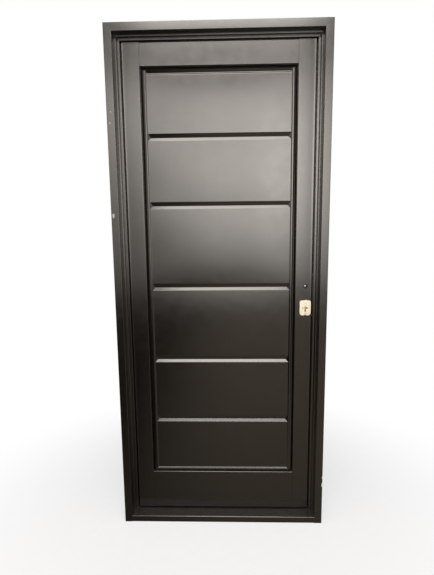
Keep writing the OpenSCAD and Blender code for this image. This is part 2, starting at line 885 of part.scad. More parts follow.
module key_cross() {
    translate([lock_edge - backset, key_z]) {
        square([key_arm, key_slot], center = true);
        translate([-key_slot / 2, -key_drop]) square([key_slot, key_drop + key_rise]);
    }
}

module key_plate(depth) {
    at = [lock_edge - backset, key_z];
    full_t = plate_t + plate_rise;
    difference() {
        union() {
            outwards(depth, plate_t) translate(at) plate_outline();
            outwards(depth, full_t) translate(at) plate_raised();
        }
        outwards(depth + over, full_t + 2 * over) key_cross();
        for (s = plate_screws)
            rod_y(at[0], s[0], depth - full_t - over, depth + over, screw_r + seat_clear);
    }
}

module outer_key_plate() {
    color(nickel) placed() key_plate(leaf_d);
}

module inner_key_plate() {
    color(nickel) placed() translate([0, 2 * leaf_mid, 0]) mirror([0, 1, 0]) key_plate(leaf_d);
}

// Round-headed screws of both key plates, each on its own seat
module plate_screw(z, seat) {
    x = lock_edge - backset;
    rod_y(x, z, leaf_d - seat - plate_head_t, leaf_d - seat, plate_head_r);
    rod_y(x, z, leaf_d - seat, leaf_d + 3 * leaf_t, screw_r);
}

module key_plate_screws() {
    color(brass) placed() for (s = plate_screws) {
        plate_screw(s[0], s[1]);
        translate([0, 2 * leaf_mid, 0]) mirror([0, 1, 0]) plate_screw(s[0], s[1]);
    }
}

// Latch: bevelled head, a tail over the follower and a lug behind its arm
module latch_bolt() {
    tail_t = bolt_t - 2;
    tip_t = 1.5;
    tip = lock_edge + latch_out;
    outer = lock_mid - bolt_t / 2;
    inner = lock_mid + bolt_t / 2;
    color(steel) placed() {
        translate([0, 0, latch_z - latch_h / 2]) linear_extrude(height = latch_h)
            polygon([[lock_edge - latch_head_l, outer], [tip - bolt_t + tip_t, outer],
                     [tip, inner - tip_t], [tip, inner], [lock_edge - latch_head_l, inner]]);
        lock_box(latch_head_l, lug_u + lug_w, tail_t, latch_tail_low, latch_tail_low + latch_tail_h);
        lock_box(lug_u, lug_u + lug_w, tail_t, spindle_z + follower_r - lug_gap, latch_tail_low);
    }
}

// Deadbolt: a head and two bars that pass above and below the key
module deadbolt() {
    head_u = backset - key_room;
    bar_u = case_d - bar_end;
    notch_w = 8;
    notch_d = 2;
    inner = deadbolt_h / 2 - bar_h;
    color(nickel) placed() difference() {
        union() {
            lock_box(0, head_u, bolt_t, key_z - deadbolt_h / 2, key_z + deadbolt_h / 2);
            for (s = [-1, 1])
                lock_box(head_u, bar_u, bolt_t, key_z + (s > 0 ? inner : -deadbolt_h / 2),
                         key_z + (s > 0 ? deadbolt_h / 2 : -inner));
        }
        lock_box(backset - notch_w / 2, backset + notch_w / 2, 2 * bolt_t,
                 key_z - inner - notch_d, key_z + inner + notch_d);
    }
}

// Follower: turns on hubs in the case and cover, with the square socket
module spindle_follower() {
    body_t = case_t - 2 * case_wall - 2 * lock_clear;
    x = lock_edge - backset;
    color(steel) placed() difference() {
        union() {
            rod_y(x, spindle_z, lock_mid - body_t / 2, lock_mid + body_t / 2, follower_r);
            rod_y(x, spindle_z, lock_mid - case_t / 2, lock_mid + case_t / 2, follower_hub_r);
            translate([x - arm_w / 2, lock_mid - arm_t / 2, spindle_z]) cube([arm_w, arm_t, arm_l]);
        }
        translate([x - socket_w / 2, lock_mid - case_t, spindle_z - socket_w / 2])
            cube([socket_w, 2 * case_t, socket_w]);
    }
}

hinge_jamb();
lock_jamb();
head();
threshold();
wall_straps();
seal_hinge_side();
seal_lock_side();
seal_head();
strike_plate();
strike_screws();
strike_box();
frame_half(hinge_zs[0]);  // hinge_low_frame_half
frame_half(hinge_zs[1]);  // hinge_mid_frame_half
frame_half(hinge_zs[2]);  // hinge_high_frame_half
hinge_pin(hinge_zs[0]);  // hinge_low_pin
hinge_pin(hinge_zs[1]);  // hinge_mid_pin
hinge_pin(hinge_zs[2]);  // hinge_high_pin
washer(hinge_zs[0]);  // hinge_low_washer
washer(hinge_zs[1]);  // hinge_mid_washer
washer(hinge_zs[2]);  // hinge_high_washer
leaf_half(hinge_zs[0]);  // hinge_low_leaf_half
leaf_half(hinge_zs[1]);  // hinge_mid_leaf_half
leaf_half(hinge_zs[2]);  // hinge_high_leaf_half
hinge_stile();
lock_stile();
top_rail();
bottom_rail();
stile_caps();
outer_panel();
inner_panel();
lock_case();
lock_cover();
cover_screws();
lock_forend();
forend_tabs();
forend_screws();
key_pin();
latch_spring();
outer_key_plate();
inner_key_plate();
key_plate_screws();
latch_bolt();
deadbolt();
spindle_follower();
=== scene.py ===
# %% [markdown]
# # A pressed steel front door in its frame
# The real door is folded and pressed from thin steel sheet, welded, and sprayed satin black.
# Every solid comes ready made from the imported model, in one shared frame. The lesson dresses
# those solids: it rounds the creases of the pressed sheets, lets the sheets swell a little
# between their grooves as real pressings do, and gives each piece a finish of its own.

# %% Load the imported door
import json
import math

import bmesh
import bpy
from mathutils import Matrix, Vector

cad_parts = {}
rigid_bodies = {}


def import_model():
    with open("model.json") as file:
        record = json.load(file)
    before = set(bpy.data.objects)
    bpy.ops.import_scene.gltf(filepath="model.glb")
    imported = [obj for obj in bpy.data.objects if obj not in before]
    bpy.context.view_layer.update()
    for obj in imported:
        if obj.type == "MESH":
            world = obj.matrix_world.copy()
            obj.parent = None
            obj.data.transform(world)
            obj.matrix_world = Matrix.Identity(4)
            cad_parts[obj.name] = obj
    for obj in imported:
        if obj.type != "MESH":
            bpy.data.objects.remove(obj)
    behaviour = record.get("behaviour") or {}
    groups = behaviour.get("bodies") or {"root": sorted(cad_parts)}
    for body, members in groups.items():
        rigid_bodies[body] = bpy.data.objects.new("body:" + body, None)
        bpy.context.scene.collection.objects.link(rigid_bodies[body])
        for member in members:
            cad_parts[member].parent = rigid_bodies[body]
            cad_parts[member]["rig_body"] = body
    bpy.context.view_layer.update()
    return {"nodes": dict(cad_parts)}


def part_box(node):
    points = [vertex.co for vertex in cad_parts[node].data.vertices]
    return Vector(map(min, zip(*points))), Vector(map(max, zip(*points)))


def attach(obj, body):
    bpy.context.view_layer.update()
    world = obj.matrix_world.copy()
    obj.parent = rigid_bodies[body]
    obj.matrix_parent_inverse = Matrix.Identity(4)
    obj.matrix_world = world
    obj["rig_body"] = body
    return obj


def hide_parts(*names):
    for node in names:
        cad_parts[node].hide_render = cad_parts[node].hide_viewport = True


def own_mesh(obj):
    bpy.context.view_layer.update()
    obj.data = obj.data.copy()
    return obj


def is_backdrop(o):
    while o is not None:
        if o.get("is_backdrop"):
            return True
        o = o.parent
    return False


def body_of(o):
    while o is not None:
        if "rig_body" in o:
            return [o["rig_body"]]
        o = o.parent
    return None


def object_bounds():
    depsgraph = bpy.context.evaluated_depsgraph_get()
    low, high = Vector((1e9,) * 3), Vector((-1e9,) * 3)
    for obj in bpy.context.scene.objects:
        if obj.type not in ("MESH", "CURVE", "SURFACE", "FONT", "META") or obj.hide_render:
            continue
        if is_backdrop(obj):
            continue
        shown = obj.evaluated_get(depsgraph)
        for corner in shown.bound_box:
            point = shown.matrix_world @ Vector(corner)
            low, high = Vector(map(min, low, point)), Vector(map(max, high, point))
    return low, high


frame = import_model()
nodes = frame["nodes"]
MM = 0.001

# %% [markdown]
# ## The camera
# The photograph was taken from standing eye height, two metres off, looking slightly down.
# The door's upright edges lean towards each other downwards, and that lean gives the tilt.
# A camera can be pointed with a tracking constraint, but three plain turns say more: yaw,
# then pitch, then roll, and last a quarter turn, because a fresh camera looks at the floor.

# %% Camera
eye = Vector((0.0509, -2.04905, 1.391))
yaw, pitch, roll = (math.radians(a) for a in (1.866, -9.85, 0.652))
look = (Matrix.Rotation(yaw, 4, "Z") @ Matrix.Rotation(pitch, 4, "X")
        @ Matrix.Rotation(roll, 4, "Y") @ Matrix.Rotation(math.pi / 2, 4, "X"))
camera = bpy.data.objects.new("camera", bpy.data.cameras.new("camera"))
camera.data.sensor_width = 36
camera.data.lens = 31.304
camera.matrix_world = Matrix.Translation(eye) @ look
bpy.context.scene.collection.objects.link(camera)
bpy.context.scene.camera = camera
bpy.context.scene.view_settings.view_transform = "Standard"
print("camera at", tuple(eye), "lens", camera.data.lens)

# %% [markdown]
# ## Colours and nodes
# Paint charts give colours as sRGB hex, while the renderer adds up light, so one function
# turns hex to linear. One more adds a node with its settings and links, so that a finish
# reads as a list of what it is made of.

# %% Two helpers for finishes
def linear(code):
    """An sRGB hex colour as linear red, green, blue and alpha."""
    parts = [int(code[k:k + 2], 16) / 255 for k in (1, 3, 5)]
    return [c / 12.92 if c <= 0.04045 else ((c + 0.055) / 1.055) ** 2.4 for c in parts] + [1]


def add(tree, kind, inputs=None, **settings):
    """Adds a node. An input is a value, or the output socket that feeds it."""
    made = tree.nodes.new("ShaderNode" + kind)
    for name, value in settings.items():
        setattr(made, name, value)
    for name, value in (inputs or {}).items():
        if isinstance(value, bpy.types.NodeSocket):
            tree.links.new(value, made.inputs[name])
        else:
            made.inputs[name].default_value = value
    return made


print("near black as light:", [round(c, 4) for c in linear("#14100d")])

# %% [markdown]
# ## Floor and background
# The door stands on a pale studio floor before a white background. White could be made by
# pouring on light, but then the paint would turn grey too. So the background glows only for
# what looks at it, the camera and mirror-like rays, and lights the door no more than a pale
# room would. The floor adds a part that real light has to reach, and that keeps the shadow.
# In the paint's mirror image the floor gets darker to the left, as the paint does in the
# photograph.

# %% Floor and world
FLOOR_HALF = 9.0
ROOM_LEVEL, SEEN_LEVEL = 0.3, 1.0
# In metres: where the floor fades to white for the camera, where it does in the mirror image,
# and from where to where, sideways, the mirror image gets lighter.
FADE = (0.5, 1.5)
HAZE = (4.5, 9.0)
SHADE = (-0.85, 0.15)


def looked_at(tree):
    """1 for rays that look, 0 for light that spreads. Then the same for mirror-like rays."""
    path = add(tree, "LightPath")
    shine = add(tree, "Math", {0: path.outputs["Is Glossy Ray"],
                               1: path.outputs["Is Transmission Ray"]}, operation="MAXIMUM")
    seen = add(tree, "Math", {0: path.outputs["Is Camera Ray"], 1: shine.outputs[0]},
               operation="MAXIMUM")
    return seen.outputs[0], shine.outputs[0]


world = bpy.data.worlds.new("white_room")
bpy.context.scene.world = world
world.use_nodes = True
room = world.node_tree
room.nodes.clear()
level = add(room, "MapRange", {"Value": looked_at(room)[0], "To Min": ROOM_LEVEL,
                               "To Max": SEEN_LEVEL})
glow = add(room, "Background", {"Color": linear("#ffffff"), "Strength": level.outputs[0]})
add(room, "OutputWorld", {"Surface": glow.outputs[0]})

pale_floor = bpy.data.materials.new("pale_floor")
pale_floor.use_nodes = True
tree = pale_floor.node_tree
tree.nodes.clear()
seen, shine = looked_at(tree)
spot = add(tree, "TexCoord").outputs["Object"]
grit = add(tree, "TexNoise", {"Vector": spot, "Scale": 1 / (40 * MM), "Detail": 3.0})
tone = add(tree, "Mix", {0: grit.outputs[0], 6: linear("#9a9386"), 7: linear("#a0998d")},
           data_type="RGBA")
matt = add(tree, "BsdfDiffuse", {"Color": tone.outputs[2]})
lift = add(tree, "Emission", {"Color": linear("#f6f9ff"), "Strength": 0.66})
soft = add(tree, "AddShader", {0: matt.outputs[0], 1: lift.outputs[0]})
white = add(tree, "Emission", {"Strength": 1.0})
far = add(tree, "VectorMath", {0: spot}, operation="LENGTH").outputs["Value"]
fade = add(tree, "MapRange", {"Value": far, "From Min": FADE[0], "From Max": FADE[1]},
           interpolation_type="SMOOTHSTEP")
haze = add(tree, "MapRange", {"Value": far, "From Min": HAZE[0], "From Max": HAZE[1]},
           interpolation_type="SMOOTHSTEP")
near = add(tree, "MixShader", {0: fade.outputs[0], 1: soft.outputs[0], 2: white.outputs[0]})
# Painted shade: only mirror rays see the floor darker to the left, so the lower left of the paint
# turns darker.
sideways = add(tree, "SeparateXYZ", {0: spot})
side = add(tree, "MapRange", {"Value": sideways.outputs["X"], "From Min": SHADE[0],
                              "From Max": SHADE[1]}, interpolation_type="SMOOTHSTEP")
shade = add(tree, "Mix", {0: side.outputs[0], 6: linear("#12100d"), 7: tone.outputs[2]},
            data_type="RGBA")
shaded = add(tree, "BsdfDiffuse", {"Color": shade.outputs[2]})
mirrored = add(tree, "MixShader", {0: haze.outputs[0], 1: shaded.outputs[0], 2: white.outputs[0]})
plain = add(tree, "MixShader", {0: seen, 1: matt.outputs[0], 2: near.outputs[0]})
floor_look = add(tree, "MixShader", {0: shine, 1: plain.outputs[0], 2: mirrored.outputs[0]})
add(tree, "OutputMaterial", {"Surface": floor_look.outputs[0]})

bm = bmesh.new()
bmesh.ops.create_grid(bm, x_segments=4, y_segments=4, size=FLOOR_HALF)
floor_mesh = bpy.data.meshes.new("floor")
bm.to_mesh(floor_mesh)
bm.free()
floor_mesh.materials.append(pale_floor)
floor = bpy.data.objects.new("floor", floor_mesh)
bpy.context.scene.collection.objects.link(floor)
floor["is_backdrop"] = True
print("floor made,", len(floor_mesh.polygons), "faces")

# %% [markdown]
# ## Softboxes
# Satin black paint is a dim mirror: what stands behind the camera is what gives it shape.
# The upper half of the door mirrors a bright wall of light, brighter to the right, and the
# lower half mirrors nothing but floor. So the eye is mirrored in the leaf, and lines from
# that second eye through the leaf tell where the edges of the softboxes have to be.

# %% Softboxes
leaf_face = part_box("hinge_stile")[0].y
second_eye = Vector((eye.x, 2 * leaf_face - eye.y, eye.z))
WALL_Y, BACK_WALL_Y, CEILING_Z = -7.0, 6.0, 3.1
LAMP_COLOUR = (0.97, 0.985, 1.0)


def behind(x, z):
    """The point of the wall behind the camera that shows in the paint at x, z."""
    line = Vector((x, leaf_face, z)) - second_eye
    return second_eye + line * ((WALL_Y - second_eye.y) / line.y)


def softbox(name, low, high, face, radiance):
    """A flat rectangular lamp from corner low to corner high that shines along face."""
    lamp = bpy.data.lights.new(name, "AREA")
    lamp.shape = "RECTANGLE"
    span = high - low
    turn = face.to_track_quat("-Z", "Y").to_matrix()
    lamp.size, lamp.size_y = (abs(span.dot(turn.col[k])) for k in (0, 1))
    lamp.energy = radiance * lamp.size * lamp.size_y * math.pi
    lamp.color = LAMP_COLOUR
    made = bpy.data.objects.new(name, lamp)
    made.matrix_world = Matrix.Translation((low + high) / 2) @ turn.to_4x4()
    made.visible_camera = False
    bpy.context.scene.collection.objects.link(made)


# A column of the wall: left and right edge on the leaf, lift of its lower edge, brightness.
COLUMNS = ((-0.72, -0.40, 0.28, 0.46), (-0.40, -0.26, 0.33, 0.72), (-0.26, -0.08, 0.1, 0.8),
           (-0.08, 0.18, 0.0, 1.0), (0.18, 0.36, -0.02, 1.38), (0.36, 0.78, -0.02, 0.62))
# A layer of a column: lower and upper edge on the leaf, brightness.
LAYERS = ((0.97, 1.10, 0.14), (1.10, 1.25, 0.38), (1.25, 1.39, 0.74), (1.39, 1.78, 1.0),
          (1.78, 1.87, 0.9), (1.87, 2.3, 0.06))
# Layers up to this edge are lifted, and none of them past it.
TOP_EDGE = 1.78
WALL_RADIANCE = 4.2
for k, (left, right, lift, bright) in enumerate(COLUMNS):
    for m, (low, high, share) in enumerate(LAYERS):
        if high <= TOP_EDGE:
            low, high = min(low + lift, TOP_EDGE), min(high + lift, TOP_EDGE)
        softbox(f"wall_{k}_{m}", behind(left, low), behind(right, high),
                Vector((0, 1, 0)), WALL_RADIANCE * bright * share)
DOWN = Vector((0, 0, -1))
# A ceiling lamp: half its width, its far and near edge, brightness.
CEILING = {"ceiling_near": (0.56, -1.95, -0.04, 5.6), "ceiling_far": (0.85, -3.5, -1.95, 6.4)}
for name, (half, far_edge, near_edge, radiance) in CEILING.items():
    softbox(name, Vector((-half, far_edge, CEILING_Z)), Vector((half, near_edge, CEILING_Z)),
            DOWN, radiance)
BACK_HALF = 2.6
# A layer of the wall that the inner side of the door mirrors: lower and upper edge, brightness.
BACK_LAYERS = ((0.0, 0.6, 0.3), (0.6, 1.1, 0.6), (1.1, 1.6, 0.9), (1.6, 3.4, 1.2))
for k, (low, high, radiance) in enumerate(BACK_LAYERS):
    softbox(f"back_wall_{k}", Vector((-BACK_HALF, BACK_WALL_Y, low)),
            Vector((BACK_HALF, BACK_WALL_Y, high)), Vector((0, -1, 0)), radiance)
print("wall of light from", round(behind(0, LAYERS[0][0]).z, 2), "to",
      round(behind(0, LAYERS[-1][1]).z, 2), "m")

# %% [markdown]
# ## Satin black enamel
# The sheets are degreased, primed and sprayed with a black enamel that dries to a satin
# gloss. Near black paint is never plain black: the coat is a touch brown, its gloss drifts
# where the gun passed twice, the sheet under it is not quite flat, and dust settles on
# whatever faces up. The colour stays dark, and the gloss does the work.

# %% Black enamel
def start_finish(name):
    """A material with its shader, and the Object coordinates its patterns read."""
    made = bpy.data.materials.new(name)
    made.use_nodes = True
    tree = made.node_tree
    tree.nodes.clear()
    shader = add(tree, "BsdfPrincipled")
    add(tree, "OutputMaterial", {"Surface": shader.outputs[0]})
    return made, tree, shader, add(tree, "TexCoord").outputs["Object"]


def black_enamel(name, chips=()):
    """Satin enamel on steel. A chip is a centre, a size in millimetres and a colour."""
    made, tree, shader, place = start_finish(name)
    passes = add(tree, "TexNoise", {"Vector": place, "Scale": 1 / (210 * MM), "Detail": 2.0})
    smudge = add(tree, "TexNoise", {"Vector": place, "Scale": 1 / (38 * MM), "Detail": 4.0})
    grain = add(tree, "TexNoise", {"Vector": place, "Scale": 1 / (7 * MM), "Detail": 2.0})
    coat = add(tree, "Mix", {0: passes.outputs[0], 6: linear("#0e0b09"), 7: linear("#14100d")},
               data_type="RGBA")
    normal = add(tree, "SeparateXYZ", {0: add(tree, "NewGeometry").outputs["Normal"]})
    up = add(tree, "MapRange", {"Value": normal.outputs["Z"], "From Min": 0.85, "From Max": 1.0})
    flecks = add(tree, "MapRange", {"Value": grain.outputs[0], "From Min": 0.35,
                                    "From Max": 0.75, "To Max": 0.12})
    dust = add(tree, "Math", {0: up.outputs[0], 1: flecks.outputs[0]}, operation="MULTIPLY")
    dusty = add(tree, "Mix", {0: dust.outputs[0], 6: coat.outputs[2], 7: linear("#8d857a")},
                data_type="RGBA")
    gloss = add(tree, "MapRange", {"Value": smudge.outputs[0], "From Min": 0.3, "From Max": 0.7,
                                   "To Min": 0.16, "To Max": 0.2})
    rough = add(tree, "Math", {0: dust.outputs[0], 1: 0.7, 2: gloss.outputs[0]},
                operation="MULTIPLY_ADD")
    wave = add(tree, "Bump", {"Height": passes.outputs[0], "Distance": 0.5 * MM, "Strength": 0.6})
    # Orange peel is about 2 mm across. It is drawn at 7 mm, because 2 mm would not show.
    peel = add(tree, "Bump", {"Height": grain.outputs[0], "Distance": 0.01 * MM,
                              "Strength": 0.5, "Normal": wave.outputs[0]})
    colour, dull = dusty.outputs[2], rough.outputs[0]
    for centre, size, shade in chips:
        here = add(tree, "VectorMath", {0: place, 1: [c * MM for c in centre]},
                   operation="SUBTRACT")
        away = add(tree, "VectorMath", {0: here.outputs[0], 1: [s * MM for s in size]},
                   operation="DIVIDE")
        reach = add(tree, "VectorMath", {0: away.outputs[0]}, operation="LENGTH")
        ragged = add(tree, "TexNoise", {"Vector": place, "Scale": 1 / (3 * MM), "Detail": 3.0})
        edge = add(tree, "Math", {0: ragged.outputs[0], 1: 0.9, 2: reach.outputs["Value"]},
                   operation="MULTIPLY_ADD")
        bare = add(tree, "Math", {0: edge.outputs[0], 1: 1.4}, operation="LESS_THAN")
        chipped = add(tree, "Mix", {0: bare.outputs[0], 6: colour, 7: linear(shade)},
                      data_type="RGBA")
        flat = add(tree, "Mix", {0: bare.outputs[0], 2: dull, 3: 0.7}, data_type="FLOAT")
        colour, dull = chipped.outputs[2], flat.outputs[0]
    tree.links.new(colour, shader.inputs["Base Color"])
    tree.links.new(dull, shader.inputs["Roughness"])
    tree.links.new(peel.outputs[0], shader.inputs["Normal"])
    shader.inputs["Specular IOR Level"].default_value = 1.0
    shader.inputs["Specular Tint"].default_value = linear("#fff7ed")
    return made


# Places where the paint of the frame has come off, down to the pale primer.
CHIPS = (((-421, -63, 1336), (5, 6, 9), "#a9a39a"), ((-414, -63, 1730), (3, 6, 3), "#9a948b"),
         ((-418, -63, 1689), (3, 6, 4), "#9a948b"), ((429.5, -62, 181), (4, 6, 11), "#dedad2"),
         ((430, -62, 216), (3, 6, 6), "#dedad2"))
leaf_enamel = black_enamel("satin_black_enamel_leaf")
frame_enamel = black_enamel("satin_black_enamel_frame", CHIPS)
print("enamels made, chips in the frame's coat:", len(CHIPS))

# %% [markdown]
# ## Plated steel, brass and rubber
# Key plates and the deadbolt are nickel plated: warm, pale, softly brushed. Screws, straps
# and hinge pins are zinc plated, cooler and blotchy from the bath. Washers and the screws of
# the key plates are brass. What works inside the lock is bare steel, dark with oil. The seals
# are soft black rubber with a dull, slightly chalky skin.

# %% Metals and rubber
def plated(name, light, dark, patch, rough, brush):
    """A plated metal: two tones in patches, and brush marks drawn along the piece."""
    made, tree, shader, place = start_finish(name)
    bath = add(tree, "TexNoise", {"Vector": place, "Scale": 1 / (patch * MM), "Detail": 3.0})
    tone = add(tree, "Mix", {0: bath.outputs[0], 6: linear(dark), 7: linear(light)},
               data_type="RGBA")
    drawn = add(tree, "Mapping", {"Vector": place, "Scale": (1, 1, 0.06)})
    lines = add(tree, "TexNoise", {"Vector": drawn.outputs[0], "Scale": 1 / (brush * MM),
                                   "Detail": 2.0})
    wear = add(tree, "MapRange", {"Value": bath.outputs[0], "From Min": 0.3, "From Max": 0.7,
                                  "To Min": rough, "To Max": rough + 0.14})
    marks = add(tree, "Bump", {"Height": lines.outputs[0], "Distance": 0.02 * MM,
                               "Strength": 0.4})
    tree.links.new(tone.outputs[2], shader.inputs["Base Color"])
    tree.links.new(wear.outputs[0], shader.inputs["Roughness"])
    tree.links.new(marks.outputs[0], shader.inputs["Normal"])
    shader.inputs["Metallic"].default_value = 1.0
    return made


nickel = plated("nickel_plated_steel", "#efe5cd", "#ddd0b0", 9, 0.3, 0.8)
zinc = plated("zinc_plated_steel", "#c3c6c9", "#9ea2a3", 6, 0.36, 1.0)
brass = plated("turned_brass", "#e8d9a3", "#cdb87c", 5, 0.25, 0.5)
oiled = plated("oiled_lock_steel", "#2e2b28", "#191716", 4, 0.45, 0.6)

rubber, tree, shader, place = start_finish("soft_seal_rubber")
skin = add(tree, "TexNoise", {"Vector": place, "Scale": 1 / (4 * MM), "Detail": 4.0})
chalk = add(tree, "Mix", {0: skin.outputs[0], 6: linear("#0d0d0d"), 7: linear("#1d1c1b")},
            data_type="RGBA")
dull = add(tree, "MapRange", {"Value": skin.outputs[0], "To Min": 0.6, "To Max": 0.85})
pores = add(tree, "Bump", {"Height": skin.outputs[0], "Distance": 0.05 * MM, "Strength": 0.5})
tree.links.new(chalk.outputs[2], shader.inputs["Base Color"])
tree.links.new(dull.outputs[0], shader.inputs["Roughness"])
tree.links.new(pores.outputs[0], shader.inputs["Normal"])
print("finishes:", [m.name for m in (nickel, zinc, brass, oiled, rubber)])

# %% [markdown]
# ## Dressing a solid
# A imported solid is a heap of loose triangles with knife-sharp edges. Light catches a real
# edge because it is a little round. A copy of the solid is welded, its flat triangles are
# joined to whole faces, and the sharp edges are bevelled. Weighted normals then keep the
# big faces flat while the bevels and folds shade round. The copy stands for its solid.

# %% Weld, round and show
WELD, CUT_TOUCH, SAME_PLACE, SAME_DEPTH = 0.002 * MM, 0.001 * MM, 0.01 * MM, 0.02 * MM
FLAT_ANGLE, SHARP_ANGLE = math.radians(0.5), math.radians(38)
SLOT_FINISH = {"black_paint": leaf_enamel, "seal_rubber": rubber, "zinc_steel": zinc,
               "nickel_plate": nickel, "brass": brass}


def welded(node):
    """A solid as a bmesh with merged points and whole flat faces."""
    bm = bmesh.new()
    bm.from_mesh(nodes[node].data)
    bmesh.ops.remove_doubles(bm, verts=bm.verts, dist=WELD)
    bmesh.ops.dissolve_limit(bm, angle_limit=FLAT_ANGLE, verts=bm.verts, edges=bm.edges)
    bm.normal_update()
    return bm


def round_edges(bm, edges, width, segments):
    """Bevels those edges by a width in millimetres."""
    bmesh.ops.bevel(bm, geom=edges, offset=width * MM, segments=segments, profile=0.5,
                    affect="EDGES", clamp_overlap=True, material=-1)


def sharp_edges(bm, degrees):
    """The edges where two faces meet at more than that angle."""
    return [e for e in bm.edges
            if len(e.link_faces) == 2 and e.calc_face_angle() > math.radians(degrees)]


def show(bm, node, slot, finish=None):
    """Makes a piece of a bmesh: it stands for a node and rides where the node rides."""
    mesh = bpy.data.meshes.new(node + "_dressed")
    bm.to_mesh(mesh)
    bm.free()
    mesh.shade_smooth()
    mesh.set_sharp_from_angle(angle=SHARP_ANGLE)
    mesh.materials.append(finish or SLOT_FINISH[slot])
    piece = bpy.data.objects.new(node + "_dressed", mesh)
    bpy.context.scene.collection.objects.link(piece)
    even = piece.modifiers.new("even_normals", "WEIGHTED_NORMAL")
    even.keep_sharp = True
    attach(piece, body_of(nodes[node])[0])
    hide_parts(node)
    return piece


print("slots with a finish:", sorted(SLOT_FINISH))

# %% [markdown]
# ## Folded sections
# Jambs, head, threshold, stiles and rails are folded on a press brake. Their bends are in
# the solids already, as a few narrow facets, so they only need welding and smooth shading.
# A bevel on top would round the cut ends, which on the real door are sheared square.
# The broad face of a stile is never quite flat: towards the fold at its outer edge it rolls
# back by about a millimetre, and the light on it fades there.

# %% Frame and leaf sections
ROLL_STRIPS, ROLL_BACK = 8, 1.0 * MM


def flat_at(bm, depth):
    """The faces of a sheet that lie flat at one depth."""
    return [f for f in bm.faces
            if abs(f.normal.y) > 0.999 and abs(f.calc_center_median().y - depth) < SAME_DEPTH]


def with_borders(faces):
    """The faces with their edges and points, each once, in an order that is always the same."""
    return list(dict.fromkeys([*faces, *(e for f in faces for e in f.edges),
                               *(v for f in faces for v in f.verts)]))


def cut_flat(bm, depth, cuts):
    """Cuts the flat faces at one depth by planes, each given by an axis and a place."""
    for axis, at in cuts:
        across = Vector([float(k == axis) for k in range(3)])
        bmesh.ops.bisect_plane(bm, geom=with_borders(flat_at(bm, depth)), dist=CUT_TOUCH,
                               plane_co=across * at, plane_no=across)


def roll_off(bm, side):
    """Rolls both broad faces of a stile back towards its outer edge, on the given side."""
    for depth, out in ((min(v.co.y for v in bm.verts), -1), (max(v.co.y for v in bm.verts), 1)):
        across = [v.co.x * side for f in flat_at(bm, depth) for v in f.verts]
        inner, outer = min(across), max(across)
        strip = (outer - inner) / ROLL_STRIPS
        cut_flat(bm, depth, [(0, side * (inner + strip * k)) for k in range(1, ROLL_STRIPS)])
        for v in {v for f in flat_at(bm, depth) for v in f.verts}:
            v.co.y -= out * ROLL_BACK * ((v.co.x * side - inner) / (outer - inner)) ** 3
    bm.normal_update()


FRAME_SECTIONS = ("hinge_jamb", "lock_jamb", "head", "threshold")
LEAF_SECTIONS = ("hinge_stile", "lock_stile", "top_rail", "bottom_rail", "stile_caps")
for node in FRAME_SECTIONS:
    show(welded(node), node, "black_paint", frame_enamel)
for node in LEAF_SECTIONS:
    bm = welded(node)
    if node.endswith("_stile"):
        roll_off(bm, 1 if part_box(node)[1].x > 0 else -1)
    show(bm, node, "black_paint", leaf_enamel)
print("folded sections:", len(FRAME_SECTIONS) + len(LEAF_SECTIONS))

# %% [markdown]
# ## Pressed panels
# Each face of the leaf is one sheet, pressed in a tool: a sunk border, a raised rim, five
# deep grooves across and a narrow one near each end. Pressing leaves soft creases, and the
# flat fields between the grooves spring back and swell by a millimetre or two. On dark gloss
# that swell is what breaks the mirror image at every groove, so each field is cut into a
# grid and pushed out in a bow. The floors of the deep grooves are drawn together to a soft V,
# and the slopes at both ends of the sheet are eased.

# %% Panels
CREASE, CREASE_SEGMENTS, CREASE_ANGLE = 1.3, 3, 8
# Flats narrower than this close up, in shallow and in deep grooves. How deep a deep groove is
# at least, and by how much its closed floor is raised.
NARROW, DEEP_FLOOR, DEEP, V_RAISE = 3.5 * MM, 14 * MM, 7.5 * MM, 2 * MM
V_PLACE, MIDDLE = 0.15, 0.5
FIELD_SLOPE = 0.026
BROW_BACK, GROOVE_FILL = 1.5 * MM, 2.2 * MM
LOW_GROOVE, LOW_GROOVE_DEEP = (8 * MM, 14 * MM), 1.5 * MM
SLIVER = 1 * MM * MM
SHARP_END = 30 * MM
CELLS_ACROSS, CELLS_UP = 8, 8


def field_depths(bm):
    """The depths of both faces of the sheet in the fields, the largest flats of a panel."""
    area = {}
    for f in bm.faces:
        if abs(f.normal.y) > 0.999:
            depth = round(f.calc_center_median().y, 5)
            area[depth] = area.get(depth, 0) + f.calc_area()
    return sorted(area, key=area.get)[-2:]


def draw_together(bm):
    """Closes flats narrower than a crease, and the floors of the deep grooves to a soft V.

    A closed flat leaves slivers without area, and each joins its neighbour at its longest edge.
    """
    field = field_depths(bm)[0]
    at_depth = {}
    for point in bm.verts:
        at_depth.setdefault(round(point.co.y, 5), []).append(point)
    for depth, points in at_depth.items():
        deep = abs(depth - field) > DEEP
        narrow, share = (DEEP_FLOOR, V_PLACE) if deep else (NARROW, MIDDLE)
        for axis in (0, 2):
            levels = sorted({round(v.co[axis], 5) for v in points})
            for near, far in zip(levels, levels[1:]):
                if far - near < narrow:
                    for v in points:
                        if near - SAME_PLACE < v.co[axis] < far + SAME_PLACE:
                            v.co[axis] = near + share * (far - near)
                            v.co.y -= math.copysign(V_RAISE, depth - field) if deep else 0
    bmesh.ops.remove_doubles(bm, verts=bm.verts, dist=SAME_PLACE)
    for _ in range(len(bm.faces)):
        sliver = next((f for f in bm.faces if f.calc_area() < SLIVER), None)
        if sliver is None:
            break
        longest = max(sliver.edges, key=lambda e: e.calc_length())
        bmesh.ops.dissolve_edges(bm, edges=[longest], use_verts=False)
    bm.normal_update()


